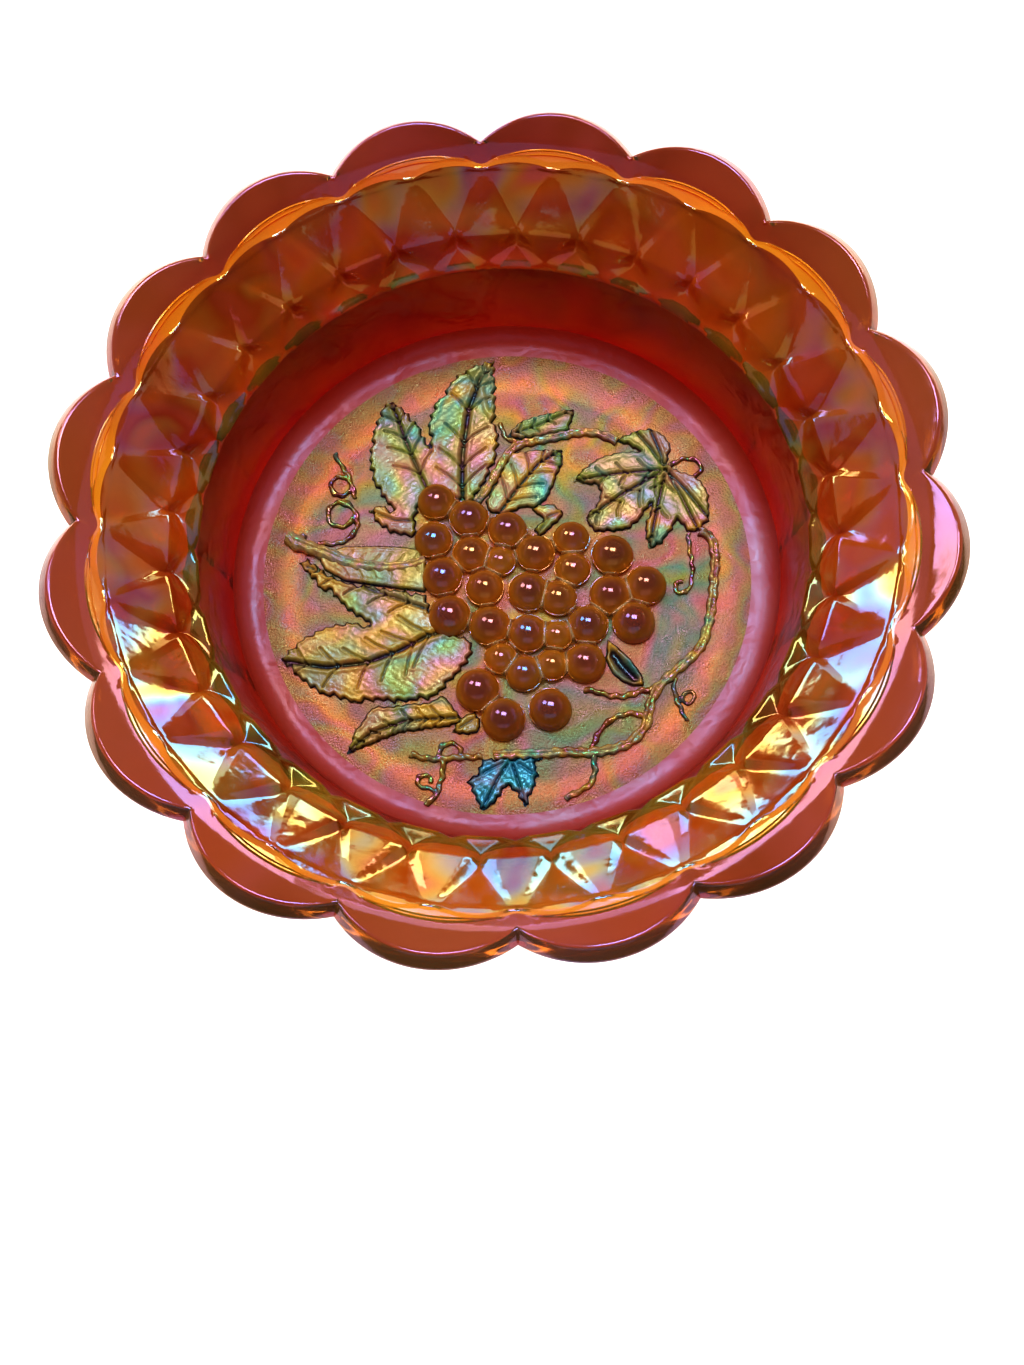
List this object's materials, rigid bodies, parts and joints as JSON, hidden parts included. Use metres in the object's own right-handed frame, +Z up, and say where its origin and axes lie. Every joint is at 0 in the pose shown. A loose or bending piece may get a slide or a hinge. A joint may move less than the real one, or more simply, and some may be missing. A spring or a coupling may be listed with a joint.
{
  "type": "pressed glass bowl",
  "caption": "Round pressed-glass bowl with a scalloped flaring rim, a quilted band, an iridescent lustre and a grape-and-leaf relief on its floor.",
  "frame": {"origin": "centre of the foot ring's resting face", "axes": "+Z up through the mouth; a rim notch lies on +Y and on +X, and the tip of the large upper leaf points along +Y"},
  "size_m": [0.2336, 0.2336, 0.0679],
  "materials": {
    "amber_glass": "pressed amber glass with a thin fired-on metallic lustre, glossy",
    "stippled_floor": "finely stippled, satin, pink-copper lustre with faint rainbow patches",
    "quilted_lustre": "sharp-faceted amber glass with strong gold, violet and blue lustre",
    "lip_lustre": "smooth maroon-amber lustre, fire-polished edge",
    "grape_glass": "high-gloss amber domes",
    "leaf_lustre": "satin lustre, green to pink and gold",
    "vine_lustre": "satin copper lustre"
  },
  "bodies": {
    "root": {"foot_ring": "amber_glass", "floor_disc": "stippled_floor", "cove_ring": "amber_glass", "well_wall": "amber_glass", "quilt_band": "quilted_lustre", "scalloped_lip": "lip_lustre", "quilt_diamonds": "quilted_lustre", "quilt_lower_points": "quilted_lustre", "arch_beads": "quilted_lustre", "grape_cluster": "grape_glass", "upper_leaf": "leaf_lustre", "centre_leaf": "leaf_lustre", "small_top_leaf": "leaf_lustre", "cluster_bract": "vine_lustre", "twig_leaf": "leaf_lustre", "lower_left_leaf": "leaf_lustre", "lower_leaf_tip": "leaf_lustre", "small_sepal": "leaf_lustre", "right_leaf": "leaf_lustre", "bottom_leaf": "leaf_lustre", "bud_leaf": "leaf_lustre", "left_twig": "vine_lustre", "upper_vine": "vine_lustre", "right_vine": "vine_lustre", "bud_stem": "vine_lustre", "left_bottom_twig": "vine_lustre", "left_tendrils": "vine_lustre", "right_tendrils": "vine_lustre"}
  },
  "joints": []
}
